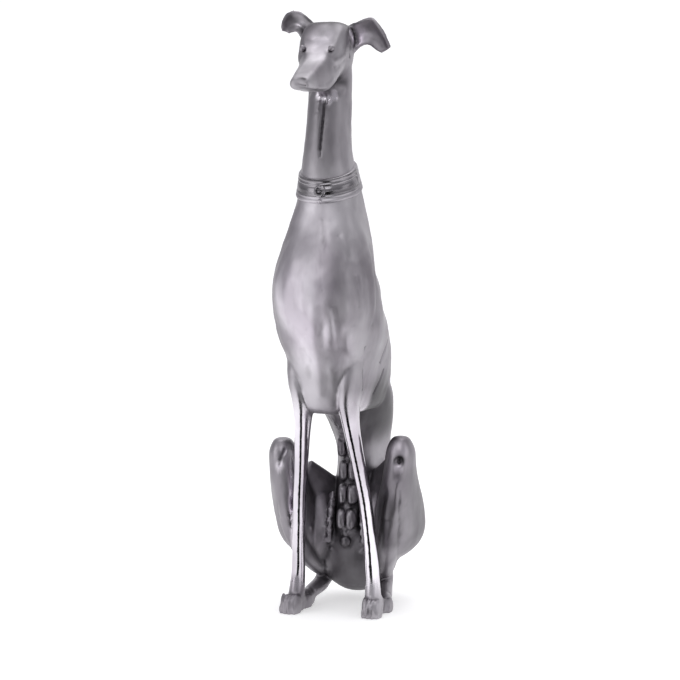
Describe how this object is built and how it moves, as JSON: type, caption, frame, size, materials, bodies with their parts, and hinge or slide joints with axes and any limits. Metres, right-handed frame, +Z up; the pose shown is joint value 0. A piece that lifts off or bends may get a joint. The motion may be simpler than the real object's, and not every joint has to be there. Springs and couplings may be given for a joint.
{
  "type": "seated greyhound sculpture",
  "caption": "Tall slender seated greyhound cast in polished aluminium, long neck with a cast-in lined collar, narrow waist, rounded haunches, standing on its own paws",
  "frame": {"origin": "centre of the figure's bounding box in plan, on the ground under its paws", "axes": "+Z up; the dog faces -Y; +X is the dog's left side"},
  "size_m": [0.18, 0.25, 0.7],
  "materials": {
    "aluminium": "polished cast aluminium, darker in the recesses"
  },
  "bodies": {
    "root": {"greyhound": "aluminium"}
  },
  "joints": []
}
